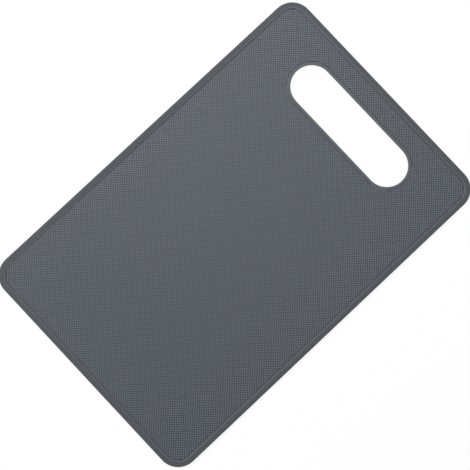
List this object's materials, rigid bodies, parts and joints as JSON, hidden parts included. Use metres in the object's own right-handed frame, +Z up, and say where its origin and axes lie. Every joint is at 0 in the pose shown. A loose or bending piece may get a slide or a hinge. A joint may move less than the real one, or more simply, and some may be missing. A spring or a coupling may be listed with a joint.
{
  "type": "flexible cutting mat",
  "caption": "Flat rectangular flexible cutting mat with rounded corners, a long round-ended hand slot at one end, an embossed field and a soft rim keyed round the edge.",
  "frame": {"origin": "centre of the mat's footprint, on the plane that it lies on", "axes": "+X along the mat's length towards the hand slot, +Y across the mat, +Z up out of the embossed face"},
  "size_m": [0.38, 0.25, 0.002],
  "materials": {
    "panel_plastic": "dark grey polypropylene, satin, embossed with a fine crosshatch on the field and smooth on its borders",
    "rim_elastomer": "dark grey soft elastomer, matte"
  },
  "bodies": {
    "root": {"cutting_panel": "panel_plastic", "edge_rim": "rim_elastomer"}
  },
  "joints": []
}
